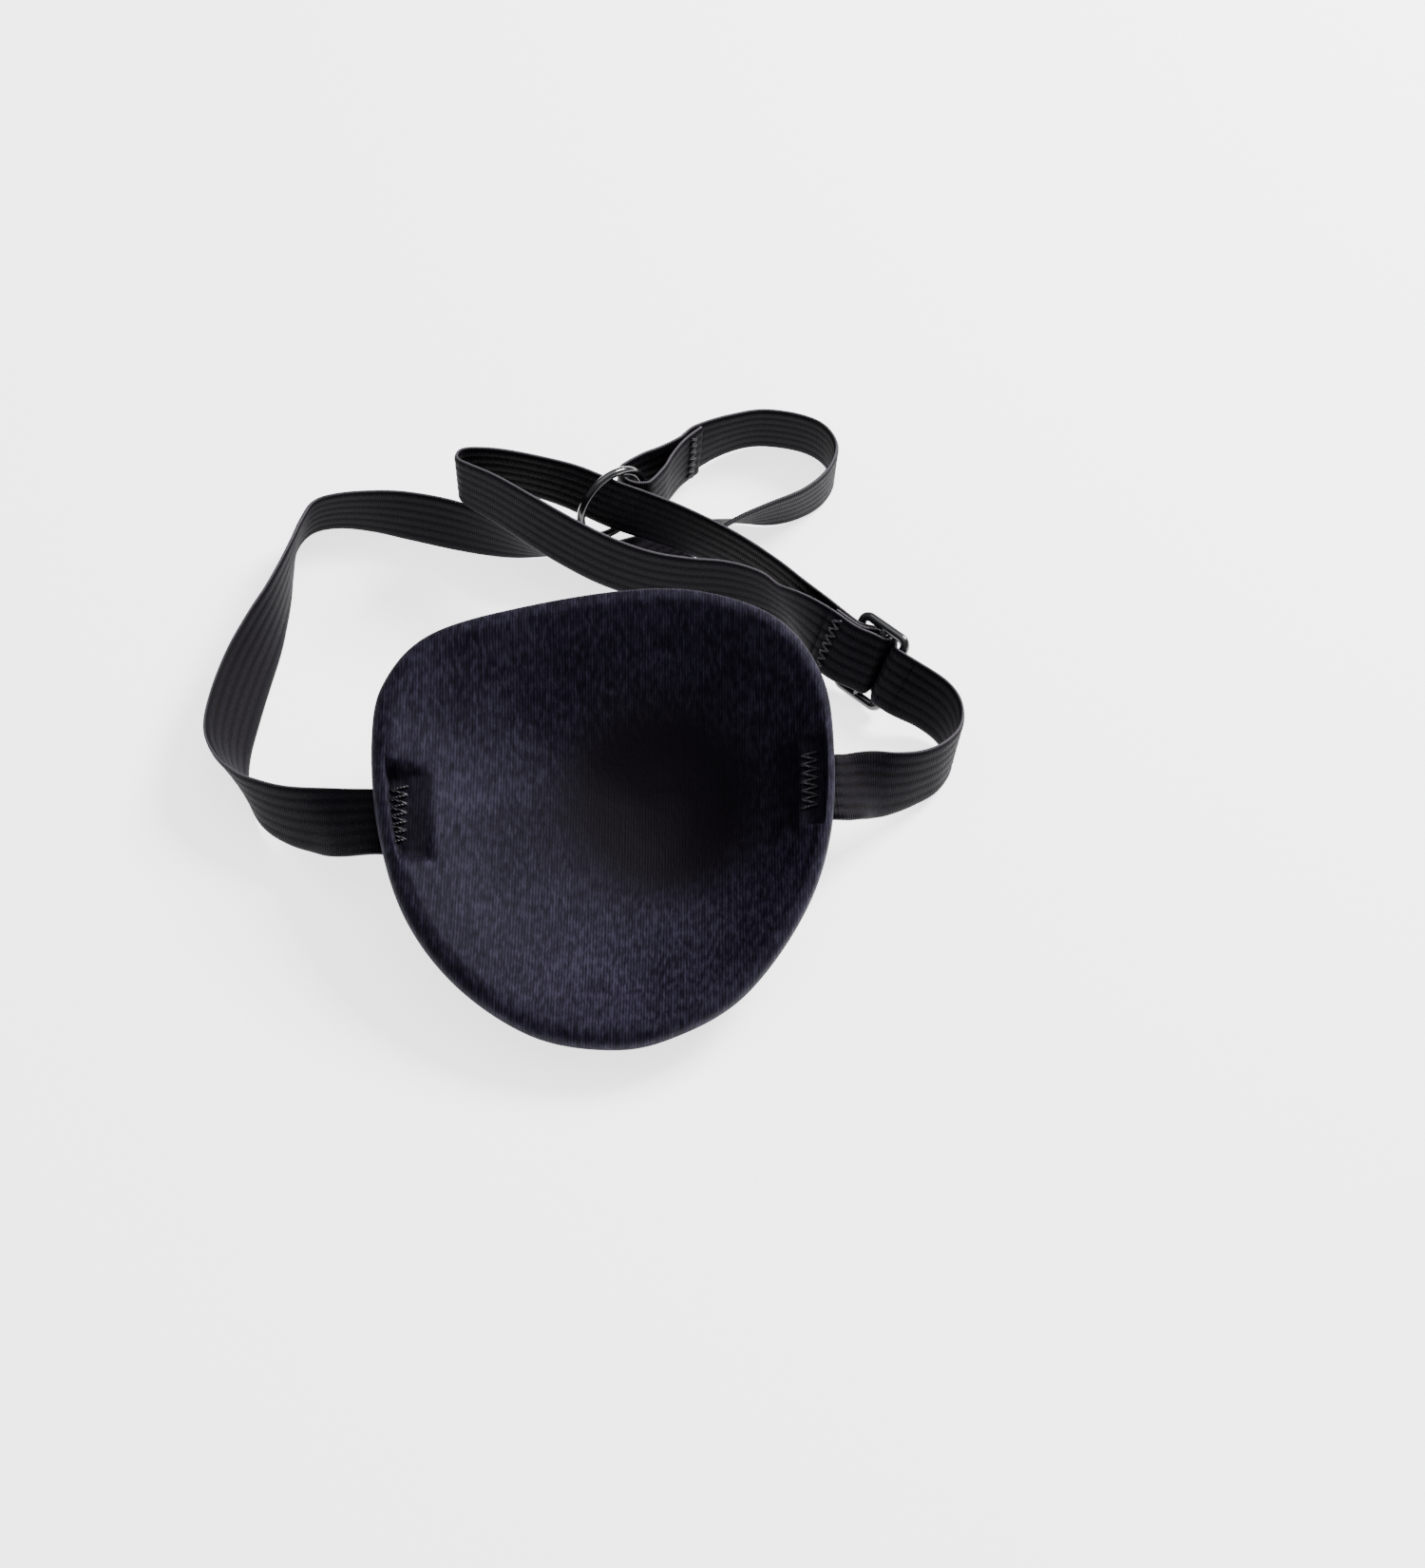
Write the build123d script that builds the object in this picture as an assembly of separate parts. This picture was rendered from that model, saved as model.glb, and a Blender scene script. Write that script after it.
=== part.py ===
"""Moulded foam eye patch on an adjustable elastic head strap, laid dome down on a table.

Millimetres, +Z up, the table is Z = 0. The origin is under the middle of the whole object.
The wearer's side of the pad faces up and a little towards -Y.
"""

from build123d import *
from math import cos, radians, sin
import os

os.makedirs("parts", exist_ok=True)

# ---------------------------------------------------------------- driving dimensions
PAD_TILT = 17.0              # the pad leans towards -Y by this angle, in degrees
PAD_X = 5.2                  # where the middle of the rim lies over the table
PAD_Y = -33.0
PAD_SCALE = 1.0              # 1.0 gives a rim 80 mm wide and 83 mm high
HOLLOW_CENTRE = (12.0, 3.0)  # deepest point of the bowl in the pad's own plane
PAD_DEPTH = 18.2             # outside depth, from the top of the rim to the dome
HOLLOW_DEPTH = 14.6          # inside depth, from the top of the rim to the bowl's floor
RIM_BAND = 4.5               # width of the rolled rim before the bowl's wall starts
FABRIC = 0.6                 # thickness of the knitted fabric on each side of the foam

STRAP_WIDTH = 12.0
STRAP_THICK = 1.0
SEAT_ROOM = 0.3              # gap on each side of a strap end in its seat under the pad
BAR_ROOM = 0.14              # gap between the strap and a slider bar
LAYER_ROOM = 0.08            # gap between two strap layers at the slider
SEWN_LAYER_ROOM = 0.1        # gap between the two sewn layers at the ring
DIVE = 38.0                  # how steeply the strap dives into a slot, in degrees

SEAM_LONG = 16.4             # sewn recess, along the pad's height
SEAM_WIDE = 9.0              # sewn recess, from the rim inwards
SEAM_FLOOR = 3.6             # how far below the rim's top the sewn recess is pressed
SEAT_DEPTH = 6.6             # how far below the rim's top the strap end lies
LEFT_SEAM = (-33.3, 0.3)     # middle of each sewn recess in the pad's plane
RIGHT_SEAM = (34.2, 6.6)
LEFT_TUCK = 5.0              # how far the strap reaches inwards past the recess's middle
RIGHT_TUCK = 0.8             # less on the side where the hollow is nearer
SEWN_OUT = 6.5               # how far it stays flat outwards from the recess's middle
THREAD = 0.5                 # diameter of the sewing thread
THREAD_SUNK = 0.7            # share of the thread that lies below the cloth's face
STITCH_PITCH = 1.2           # distance between needle holes along a zigzag
STITCH_LONG = STRAP_WIDTH - 1.6    # length of a zigzag across the strap
PAD_STITCH_WIDE = 3.0
TACK_WIDE = 1.8

RING_WIRE = 1.6
RING_INNER = STRAP_WIDTH + 1.2     # inside diameter of the ring
RING_CENTRE = (5.1, 45.8, 11.8)
LOOP_HEADING = 52.0          # heading of the sewn loop, away from the ring
LOOP_FALL = 8.0              # the sewn loop falls towards the table by this angle
RING_TURN = -14.0            # how far the ring is turned from the line of its loop

SLIDER_BAR = 1.8             # diameter of the slider's bars
SLOT_LONG = STRAP_WIDTH + 0.8
SLIDER_CORNER = 1.5          # corner radius along the middle of the bar
SLOT_WIDE = 3.2
SLIDER_CENTRE = (53.2, 9.8, 8.1)
SLIDER_HEADING = 136.5       # heading of the strap where it runs through the slider
SLIDER_LEAN = -31.0          # the slider's upper end leans outwards

CENTRING = (-1.3, -0.4, 0)   # puts the middle of the whole object over the origin


def save(shape, path):
    export_step(Pos(*CENTRING) * shape, path)


# ---------------------------------------------------------------- frames
PAD_AXES = Plane(origin=(0, 0, 0), x_dir=(1, 0, 0),
                 z_dir=(0, -sin(radians(PAD_TILT)), cos(radians(PAD_TILT))))
UP = Vector(0, 0, 1)


def sideways(along, lean):
    """The width direction of a strap that runs along `along`, leaning left by `lean` degrees."""
    left = UP.cross(along).normalized()
    top = along.cross(left).normalized()
    return top * cos(radians(lean)) + left * sin(radians(lean))


def heading(angle, fall=0.0):
    a, f = radians(angle), radians(fall)
    return Vector(cos(a) * cos(f), sin(a) * cos(f), -sin(f))


# ---------------------------------------------------------------- pad
# The rim, seen from the wearer's side: a rounded shield, widest above its middle,
# tapering to a soft point below.
RIM = [(-39.8, 13.0), (-38.2, 24.0), (-30.2, 33.2), (-12.0, 38.8), (8.0, 41.8), (21.5, 40.2),
       (31.5, 35.2), (37.8, 26.0), (39.8, 14.5), (39.2, -3.0), (34.3, -18.0), (24.0, -32.3),
       (11.5, -39.5), (1.0, -41.2), (-11.5, -38.7), (-24.0, -30.2), (-33.0, -18.2), (-38.0, -3.0)]

RIM_SIDES = 40               # the rim is drawn with this many straight sides
RIM_REACH = 40.0             # mean distance from the rim to its middle

# Each level of a bowl: depth as a share of the whole, size as a share of the rim, and how
# far the wall's normal leans from level, in degrees.
DOME_LEVELS = [(0.15, 1.0, 0), (0.23, 0.99, 12), (0.34, 0.945, 30), (0.47, 0.865, 43),
               (0.61, 0.76, 52), (0.75, 0.63, 62), (0.87, 0.475, 73), (0.96, 0.30, 82),
               (1.0, 0.12, 90)]
BOWL_LEVELS = [(0.20, 0.93, 53), (0.38, 0.845, 47), (0.56, 0.725, 47), (0.73, 0.575, 55),
               (0.88, 0.40, 68), (1.0, 0.15, 90)]
# The rolled rim: depth below the top in mm and size as a share of the rim.
OUTER_LIP = [(0.0, 0.955), (0.35, 0.977), (1.0, 0.992)]
INNER_LIP = [(0.0, 0.93), (0.5, 0.912), (1.3, 1.0 - RIM_BAND / RIM_REACH)]


def rim_corners():
    curve = Spline(*[(x * PAD_SCALE, y * PAD_SCALE) for x, y in RIM], periodic=True)
    return [curve @ (k / RIM_SIDES) for k in range(RIM_SIDES)]


CORNERS = rim_corners()


def outline(depth, share, step_in):
    """The rim drawn in towards the bowl's centre, then by `step_in`, at a depth."""
    size = share - step_in / (RIM_REACH * PAD_SCALE)
    middle = Vector(*HOLLOW_CENTRE) * (1 - share)
    points = [middle + p * size for p in CORNERS]
    return Pos(0, 0, -depth) * Polyline(*points, close=True)


def plug(levels):
    """A solid through the outlines of (depth, share, step_in), top first."""
    return Solid.make_loft([Wire(outline(*level).edges()) for level in levels], ruled=True)


def dome(skin):
    """The filled outside of the pad, drawn in by `skin` all over but the top."""
    levels = [(depth, share, skin) for depth, share in OUTER_LIP]
    if skin:
        levels[0] = (-1.5, OUTER_LIP[0][1], skin)
    for down, share, lean in DOME_LEVELS:
        depth = down * PAD_DEPTH - skin * sin(radians(lean))
        levels.append((depth, share, skin * cos(radians(lean))))
    return plug(levels)


def bowl(skin):
    """The filled hollow of the pad, grown by `skin`."""
    levels = [(-1.5, 0.965, -0.4 * skin)]
    levels += [(depth, share, -skin) for depth, share in INNER_LIP]
    for down, share, lean in BOWL_LEVELS:
        depth = down * HOLLOW_DEPTH + skin * sin(radians(lean))
        levels.append((depth, share - RIM_BAND / RIM_REACH, -skin * cos(radians(lean))))
    return plug(levels)


def recess(seam, grow):
    """The pressed-down box of a sewn recess, open upwards."""
    high = SEAM_FLOOR + grow + 4
    box = Box(SEAM_WIDE + 2 * grow, SEAM_LONG + 2 * grow, high)
    box = fillet(box.edges().filter_by(Axis.Z), 2.0 + grow)
    return Pos(seam[0], seam[1], 4 - high / 2) * box


def seat(seam, grow):
    """The flat that the sewn strap end presses into the dome, open downwards and outwards."""
    side = -1 if seam[0] < 0 else 1
    tuck = LEFT_TUCK if side < 0 else RIGHT_TUCK
    inner = seam[0] - side * (tuck + SEAT_ROOM + grow)
    outer = seam[0] + side * 14
    wide = STRAP_WIDTH + 2 * SEAT_ROOM + 2 * grow
    high = 12
    box = Box(abs(outer - inner), wide, high)
    return Pos((inner + outer) / 2, seam[1], -(SEAT_DEPTH - grow) - high / 2) * box


SEAMS = [LEFT_SEAM, RIGHT_SEAM]
outside = dome(0.0)
inside_cover = dome(FABRIC)
hollow = bowl(0.0)
hollow_under_lining = bowl(FABRIC)
for seam in SEAMS:
    outside = outside - seat(seam, 0.0)
    inside_cover = inside_cover - seat(seam, FABRIC)
    hollow = hollow + recess(seam, 0.0)
    hollow_under_lining = hollow_under_lining + recess(seam, FABRIC)

below_the_lip = Pos(0, 0, -FABRIC - 20) * Box(140, 140, 40)
cover = outside - inside_cover
foam = (inside_cover & below_the_lip) - hollow_under_lining
core = max(foam.solids(), key=lambda piece: piece.volume)
lining = (inside_cover & outside) - core - hollow

lowest = (PAD_AXES * outside).bounding_box().min.Z
PAD_PLACE = Plane(origin=(PAD_X, PAD_Y, -lowest), x_dir=PAD_AXES.x_dir, z_dir=PAD_AXES.z_dir)
save(PAD_PLACE * cover, "parts/pad_outer_cover.step")
save(PAD_PLACE * core, "parts/pad_foam_core.step")
save(PAD_PLACE * lining, "parts/pad_inner_lining.step")


# ---------------------------------------------------------------- straps
def on_pad(u, v, w):
    return PAD_PLACE.from_local_coords(Vector(u, v, w))


def halved(route):
    """The same route with one more point on the smooth curve between each two."""
    made = [route[0]]
    for i in range(len(route) - 1):
        a, b = route[i], route[i + 1]
        before = route[i - 1] if i else a
        after = route[i + 2] if i + 2 < len(route) else b
        made.append(tuple((9 * (q + r) - (p + s)) / 16 for p, q, r, s in zip(before, a, b, after)))
        made.append(b)
    return made


def stations(points):
    """Centre, direction and width direction at points (x, y, z, lean) and those between."""
    route = halved(points)
    centres = [Vector(*point[:3]) for point in route]
    made = []
    for i, centre in enumerate(centres):
        before = centre - centres[i - 1] if i else centres[1] - centre
        after = centres[i + 1] - centre if i + 1 < len(centres) else before
        ratio = after.length / before.length
        along = (before * ratio + after * (1 / ratio)).normalized()
        made.append((centre, along, sideways(along, route[i][3])))
    return made


def path_in_frame(frame, points):
    """Stations along points (x, y) of a plane, with the strap's width square to that plane."""
    centres = [frame.from_local_coords(Vector(x, y, 0)) for x, y in points]
    made = []
    for i, centre in enumerate(centres):
        before = centre - centres[i - 1] if i else centres[1] - centre
        after = centres[i + 1] - centre if i + 1 < len(centres) else before
        ratio = after.length / before.length
        along = (before * ratio + after * (1 / ratio)).normalized()
        made.append((centre, along, frame.z_dir))
    return made


def arc_points(centre, radius, start, end, count):
    """Points (x, y) round a centre, from one angle to another, both included."""
    points = []
    for k in range(count):
        a = radians(start + (end - start) * k / (count - 1))
        points.append((centre[0] + radius * cos(a), centre[1] + radius * sin(a)))
    return points


def webbing(made):
    """A strap lofted through its stations."""
    sections = []
    for centre, along, width in made:
        flat = Plane(origin=centre, x_dir=width, z_dir=along)
        sections.append(flat * Rectangle(STRAP_WIDTH, STRAP_THICK))
    return loft(sections, ruled=True)


def sewn_end(seam, side):
    """Stations of a strap end lying flat in its seat under the pad, from the inside out."""
    depth = -(SEAT_DEPTH + STRAP_THICK / 2)
    tuck = LEFT_TUCK if side < 0 else RIGHT_TUCK
    run = [seam[0] - side * tuck, seam[0] + side * SEWN_OUT / 2, seam[0] + side * SEWN_OUT]
    height = PAD_PLACE.y_dir
    out = PAD_PLACE.x_dir * side
    return [(on_pad(u, seam[1], depth), out, height) for u in run]


def length_of(made):
    return sum((b[0] - a[0]).length for a, b in zip(made, made[1:]))


# The free run of the left strap: out from under the rim, a turn to the left, away over the
# table, back to the right under the adjuster's two layers, and a small loop to the ring.
LEFT_RUN = [
    (-40.4, -29.4, 11.7, -55), (-45.4, -27.6, 9.9, -33), (-50.5, -25.2, 8.1, -20),
    (-55.3, -22.0, 6.8, -8), (-58.8, -18.3, 6.2, 8), (-61.9, -13.0, 5.8, 24),
    (-63.3, -7.0, 5.4, 36), (-62.9, 0.5, 5.2, 40), (-61.4, 9.7, 5.3, 36),
    (-59.3, 18.0, 5.7, 25), (-57.6, 24.7, 6.0, 12), (-56.5, 30.9, 6.1, 2),
    (-55.8, 36.9, 6.1, -8), (-55.0, 43.0, 6.1, -16), (-52.8, 47.3, 6.1, -14),
    (-48.4, 49.0, 6.1, -10), (-41.8, 49.0, 6.1, -2), (-34.4, 47.8, 6.1, 8),
    (-25.5, 45.4, 6.1, 10), (-17.3, 42.4, 6.1, -3), (-10.0, 39.8, 5.7, -26),
    (-3.1, 38.6, 4.0, -55), (3.2, 39.0, 2.1, -78), (9.2, 40.8, 1.5, -86),
    (15.0, 43.1, 1.8, -81), (20.8, 45.6, 2.7, -70), (27.3, 47.3, 4.8, -44),
    (34.8, 48.4, 6.0, -22), (41.1, 51.0, 6.1, -14), (45.8, 55.4, 6.1, -8),
    (47.9, 61.2, 6.1, -3), (46.2, 66.6, 6.1, 3), (41.4, 70.0, 6.1, 7),
    (33.6, 71.3, 6.2, 8), (27.0, 68.8, 6.9, 6),
]
EYE_RADIUS = 3.45            # centreline radius of the sewn loop's rounded end
EYE_SHIFT = 1.95             # the rounded end's centre lies this far towards the ring's centre
EYE_LONG = 11.5              # distance from the ring's wire to where the layers meet
EYE_SEWN = 4.6               # length over which the two layers are sewn together

loop_out = heading(LOOP_HEADING, LOOP_FALL)
ring_upright = sideways(loop_out, 0.0)
ring_arm = loop_out * cos(radians(RING_TURN)) + ring_upright.cross(loop_out) * sin(radians(RING_TURN))
ring_reach = (RING_INNER + RING_WIRE) / 2
ring_hinge = Vector(*RING_CENTRE) + ring_arm * ring_reach
# x runs from the ring's wire towards the sewn layers, z is the strap's width
EYE = Plane(origin=ring_hinge, x_dir=loop_out, z_dir=ring_upright)
layer = (STRAP_THICK + SEWN_LAYER_ROOM) / 2
eye_turn = arc_points((-EYE_SHIFT, 0), EYE_RADIUS, 70, 290, 9)
eye_path = [(EYE_LONG + EYE_SEWN, layer), (EYE_LONG, layer), (6.5, 1.5), (2.6, 2.7)]
eye_path += eye_turn[1:-1]
eye_path += [(2.6, -2.7), (6.5, -1.5), (EYE_LONG, -layer), (EYE_LONG + EYE_SEWN + 0.6, -layer)]


left_made = sewn_end(LEFT_SEAM, -1) + stations(LEFT_RUN) + path_in_frame(EYE, eye_path)
left_strap = webbing(left_made)
save(left_strap, "parts/left_strap.step")
print("left strap length", round(length_of(left_made), 1), "volume", round(left_strap.volume, 1))

# The right strap: out from under the rim, a turn to the right, through the slider, back along
# the far side through the ring, round the fold, and along the near side to the slider again,
# where its end is folded round the middle bar and sewn down.
RIGHT_RUN = [(48.8, -22.7, 13.2, 62), (51.8, -21.1, 11.6, 45), (55.6, -19.7, 10.0, 27),
             (60.4, -17.3, 8.5, 12), (64.8, -13.8, 7.3, 4), (67.6, -8.7, 6.5, -6),
             (67.1, -3.3, 6.4, -17), (64.2, 0.6, 6.9, -26)]
BACK_RUN = [(41.6, 22.6, 8.3, -8), (35.6, 29.8, 8.5, 0), (27.8, 35.4, 9.6, 0),
            (18.8, 39.7, 11.0, -3), (11.5, 42.8, 11.6, -6), (4.95, 45.68, 11.8, -7),
            (-3.0, 48.4, 13.8, -2), (-10.1, 49.0, 16.1, 4), (-16.6, 48.8, 17.9, 4),
            (-21.0, 48.3, 18.5, 2), (-22.9, 47.6, 18.6, 0), (-23.6, 46.4, 18.6, 0),
            (-23.1, 45.1, 18.6, 0), (-21.4, 43.8, 18.6, 2), (-16.4, 40.6, 18.5, 6),
            (-9.4, 35.4, 18.1, 9), (-2.3, 31.6, 16.2, 9), (4.7, 29.2, 13.7, 8),
            (11.8, 27.8, 11.7, 6), (18.8, 27.6, 10.2, 5), (25.9, 27.8, 9.2, 4),
            (32.4, 26.4, 8.6, 0), (37.8, 22.8, 8.3, -6)]

slider_along = heading(SLIDER_HEADING)
slider_width = sideways(slider_along, SLIDER_LEAN)
# x runs along the strap from the pad to the ring, y towards the near side, z is the width
THREADED = Plane(origin=SLIDER_CENTRE, x_dir=slider_along, z_dir=slider_width)
bar_gap = SLOT_WIDE + SLIDER_BAR
hug = SLIDER_BAR / 2 + STRAP_THICK / 2 + BAR_ROOM    # strap centreline round a bare bar
over = hug + STRAP_THICK + LAYER_ROOM                # strap centreline over one more layer
top_layer = over + STRAP_THICK + 2 * LAYER_ROOM      # and over two more


def threaded_run():
    """The strap past the first end bar, behind the middle bar and past the other end bar."""
    down = arc_points((-bar_gap, 0), hug, 100, DIVE, 6)
    behind = arc_points((0, 0), over, 180 + DIVE, 360 - DIVE, 8)
    rise = arc_points((bar_gap, 0), hug, 180 - DIVE, 80, 6)
    return [(-8.6, 1.1)] + down + behind + rise + [(8.6, 1.2)]


def wrapped_end():
    """The near layer's end: in over the far end bar, round the middle bar, and out again."""
    layer_in = [(9.6, top_layer + 0.06), (7.0, top_layer + 0.02), (5.0, top_layer - 0.02),
                (3.6, top_layer - 0.3), (2.2, top_layer - 0.95), (0.9, 2.02)]
    wrap = arc_points((0, 0), hug, 100, 360 - DIVE, 12)
    tail = arc_points((bar_gap, 0), over, 180 - DIVE, 90, 4)
    return layer_in + wrap + tail + [(6.9, over + 0.02), (9.4, over - 0.04)]


right_made = sewn_end(RIGHT_SEAM, 1) + stations(RIGHT_RUN) \
    + path_in_frame(THREADED, threaded_run()) + stations(BACK_RUN) \
    + path_in_frame(THREADED, wrapped_end())
right_strap = webbing(right_made)
save(right_strap, "parts/right_strap.step")
print("right strap length", round(length_of(right_made), 1), "volume", round(right_strap.volume, 1))

# ---------------------------------------------------------------- ring and slider
RING = Plane(origin=RING_CENTRE, x_dir=ring_arm, z_dir=ring_arm.cross(ring_upright))
ring = RING * Torus(ring_reach, RING_WIRE / 2)
save(ring, "parts/strap_ring.step")

slider_long = SLOT_LONG + SLIDER_BAR
slider_wide = 2 * bar_gap
loop_wire = RectangleRounded(slider_wide, slider_long, SLIDER_CORNER).wire()
profile = Plane(origin=loop_wire @ 0, z_dir=loop_wire % 0) * Circle(SLIDER_BAR / 2)
frame_loop = sweep(profile, path=loop_wire)
middle_bar = Rot(90, 0, 0) * Cylinder(SLIDER_BAR / 2, slider_long)
SLIDER = Plane(origin=SLIDER_CENTRE, x_dir=slider_along,
               z_dir=slider_along.cross(slider_width))
slider = SLIDER * (frame_loop + middle_bar)
save(slider, "parts/slider.step")


# ---------------------------------------------------------------- stitching
proud = THREAD * (1 - THREAD_SUNK)     # how far a thread stands above the cloth


def zigzag(place, length, width, top, bottom):
    """Zigzag thread along y of a plane: a row on each face, joined by needle threads."""
    count = int(length / STITCH_PITCH)
    corners = []
    for k in range(count + 1):
        x = width / 2 if k % 2 else -width / 2
        corners.append((x, -length / 2 + k * length / count))
    row = trace(Polyline(*corners), THREAD)
    made = Pos(0, 0, top - THREAD) * extrude(row, THREAD)
    made += Pos(0, 0, bottom) * extrude(row, THREAD)
    for x, y in corners:
        made += Pos(x, y, (top + bottom) / 2) * Cylinder(THREAD * 0.45, top - bottom - THREAD)
    return place * made


def pad_stitching(seam):
    side = -1 if seam[0] < 0 else 1
    place = Plane(origin=on_pad(seam[0] + side * 1.5, seam[1], 0),
                  x_dir=PAD_PLACE.x_dir, z_dir=PAD_PLACE.z_dir)
    top = -SEAM_FLOOR + proud
    bottom = -(SEAT_DEPTH + STRAP_THICK + proud)
    return zigzag(place, STITCH_LONG, PAD_STITCH_WIDE, top, bottom)


def layer_stitching(frame, x, y_low, y_high):
    """A tack across the strap's width, through two layers."""
    place = Plane(origin=frame.from_local_coords(Vector(x, 0, 0)), x_dir=frame.x_dir,
                  z_dir=frame.y_dir)
    return zigzag(place, STITCH_LONG, TACK_WIDE, y_high + proud, y_low - proud)


save(pad_stitching(LEFT_SEAM), "parts/left_pad_stitching.step")
save(pad_stitching(RIGHT_SEAM), "parts/right_pad_stitching.step")
two_layers = layer + STRAP_THICK / 2
save(layer_stitching(EYE, EYE_LONG + 2.4, -two_layers, two_layers),
     "parts/ring_loop_stitching.step")
save(layer_stitching(THREADED, 7.6, over - STRAP_THICK / 2, top_layer + STRAP_THICK / 2),
     "parts/slider_loop_stitching.step")
hinge_place = ring_hinge + Vector(*CENTRING)
print("ring hinge at", [round(c, 3) for c in hinge_place], [round(c, 4) for c in ring_upright])
print("slider slides along", [round(c, 4) for c in slider_along])
print("pad height over the table", round(-lowest, 2))
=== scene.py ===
# %% [markdown]
# # A moulded eye patch on an elastic strap
# The patch is a bowl of foam between two skins of fine knitted fabric, sewn to flat elastic.
# The elastic runs through a three-bar slider and a ring, and lies gathered on a table.
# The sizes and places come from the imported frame. Lengths here are in metres unless a name
# ends in _mm.

# %% Load the frame
import math

import bmesh
import bpy
from mathutils import Matrix, Vector, noise


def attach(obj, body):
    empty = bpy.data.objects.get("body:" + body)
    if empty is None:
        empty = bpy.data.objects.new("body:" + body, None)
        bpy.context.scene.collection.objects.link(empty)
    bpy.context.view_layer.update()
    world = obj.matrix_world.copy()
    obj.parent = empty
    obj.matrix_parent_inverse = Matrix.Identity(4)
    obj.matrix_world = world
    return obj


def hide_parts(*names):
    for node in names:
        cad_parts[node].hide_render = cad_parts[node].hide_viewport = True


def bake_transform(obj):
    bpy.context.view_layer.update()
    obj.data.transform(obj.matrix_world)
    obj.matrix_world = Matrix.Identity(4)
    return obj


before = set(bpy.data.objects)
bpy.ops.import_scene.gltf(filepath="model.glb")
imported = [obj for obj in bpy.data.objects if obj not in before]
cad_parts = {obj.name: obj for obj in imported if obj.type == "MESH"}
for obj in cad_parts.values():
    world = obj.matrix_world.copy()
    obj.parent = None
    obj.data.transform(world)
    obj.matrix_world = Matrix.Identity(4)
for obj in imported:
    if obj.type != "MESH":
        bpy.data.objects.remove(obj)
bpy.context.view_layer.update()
MM = 0.001

# %% [markdown]
# ## Camera
# The camera looks down at 53 degrees from the wearer's side of the pad. A long lens close to
# the object gives the slight widening of the near end.

# %% Camera
LOOK_AT = Vector((22.85, -12.6, 0.0)) * MM
LOOK_DOWN = math.radians(53.0)
STAND_OFF = 0.475
camera_data = bpy.data.cameras.new("camera")
camera_data.sensor_width = 36.0
camera_data.lens = 60.4
camera_data.clip_start = 0.01
camera = bpy.data.objects.new("camera", camera_data)
camera.location = LOOK_AT + STAND_OFF * Vector((0, -math.cos(LOOK_DOWN), math.sin(LOOK_DOWN)))
camera.rotation_euler = (math.pi / 2 - LOOK_DOWN, 0, 0)
bpy.context.scene.collection.objects.link(camera)
bpy.context.scene.camera = camera
print("camera at", [round(c, 4) for c in camera.location])

# %% [markdown]
# ## Materials
# Black cloth is never quite black. Each fibre catches a little light at a low angle, so the
# knit and the elastic get a faint sheen on the shader, and their threads are bumps.
# The knit's rows of loops are spaced along the object's X, because the fabric was moulded
# from one flat sheet. The elastic's cross threads and the painted shade between its ribs
# follow a UV map in metres.


# %% Small helpers for node materials
def new_material(name, colour, roughness, **sockets):
    material = bpy.data.materials.new(name)
    material.use_nodes = True
    shader = material.node_tree.nodes["Principled BSDF"]
    shader.inputs["Base Color"].default_value = (*colour, 1)
    shader.inputs["Roughness"].default_value = roughness
    for socket, value in sockets.items():
        shader.inputs[socket.replace("_", " ")].default_value = value
    return material, shader


def add(material, kind, links=(), **settings):
    """A node with its settings, fed by (socket, from_socket) links."""
    node = material.node_tree.nodes.new(kind)
    for key, value in settings.items():
        if key in node.inputs:
            node.inputs[key].default_value = value
        else:
            setattr(node, key, value)
    for socket, source in links:
        material.node_tree.links.new(source, node.inputs[socket])
    return node


def math_node(material, operation, a, b):
    node = material.node_tree.nodes.new("ShaderNodeMath")
    node.operation = operation
    for socket, value in zip(node.inputs, (a, b)):
        if isinstance(value, (int, float)):
            socket.default_value = value
        else:
            material.node_tree.links.new(value, socket)
    return node.outputs[0]


def stretched(material, coordinates, scale):
    node = add(material, "ShaderNodeMapping", [("Vector", coordinates)])
    node.inputs["Scale"].default_value = scale
    return node.outputs["Vector"]


def colour_ramp(material, factor, stops):
    node = add(material, "ShaderNodeValToRGB", [("Fac", factor)])
    ramp = node.color_ramp
    while len(ramp.elements) < len(stops):
        ramp.elements.new(0.5)
    for element, (place, colour) in zip(ramp.elements, stops):
        element.position = place
        element.color = (*colour, 1)
    return node.outputs["Color"]


def bumped(material, shader, height, depth, strength=1.0):
    bump = add(material, "ShaderNodeBump", [("Height", height)], Strength=strength, Distance=depth)
    material.node_tree.links.new(bump.outputs["Normal"], shader.inputs["Normal"])


# %% Knitted pad fabric
WALE = 0.5 * MM              # distance from one row of loops to the next
WAVE_UNIT = 2 * math.pi / 20   # a wave texture of this scale repeats once per metre


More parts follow.
